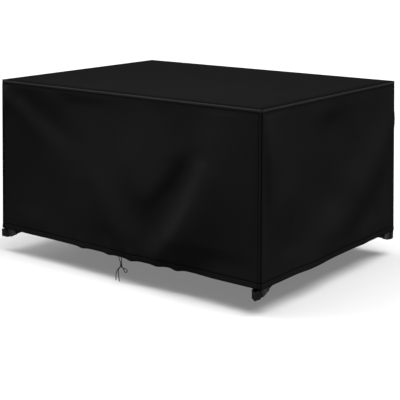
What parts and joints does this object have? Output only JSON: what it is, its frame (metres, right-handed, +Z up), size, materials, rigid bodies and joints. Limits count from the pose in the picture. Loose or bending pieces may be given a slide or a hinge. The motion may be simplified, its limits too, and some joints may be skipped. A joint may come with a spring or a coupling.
{
  "type": "fitted patio furniture cover",
  "caption": "Fitted rectangular outdoor furniture cover of coated cloth, hemmed and softly creased, with a piped top seam, corner straps with side-release buckles and a drawcord tie.",
  "frame": {"origin": "centre of the top panel's underside, where the cover lies on what it covers", "axes": "+X along the long side, +Z up, the front with the drawcord tie at -Y"},
  "size_m": [1.5537, 1.1741, 0.8355],
  "materials": {
    "cloth": "matt coated weave, black",
    "webbing": "woven webbing, black",
    "buckle": "moulded, satin, black",
    "cord": "braided, black"
  },
  "bodies": {
    "root": {"top_panel": "cloth", "top_welt": "cloth", "panel_front": "cloth", "panel_right": "cloth", "panel_back": "cloth", "panel_left": "cloth", "strap_long_front_left": "webbing", "strap_short_front_left": "webbing", "buckle_socket_front_left": "buckle", "buckle_tongue_front_left": "buckle", "strap_long_front_right": "webbing", "strap_short_front_right": "webbing", "buckle_socket_front_right": "buckle", "buckle_tongue_front_right": "buckle", "strap_long_back_right": "webbing", "strap_short_back_right": "webbing", "buckle_socket_back_right": "buckle", "buckle_tongue_back_right": "buckle", "strap_long_back_left": "webbing", "strap_short_back_left": "webbing", "buckle_socket_back_left": "buckle", "buckle_tongue_back_left": "buckle", "drawcord_lead_left": "cord", "drawcord_lead_right": "cord", "drawcord_knot": "cord", "drawcord_loop": "cord", "drawcord_end_long": "cord", "drawcord_end_short": "cord"}
  },
  "joints": []
}
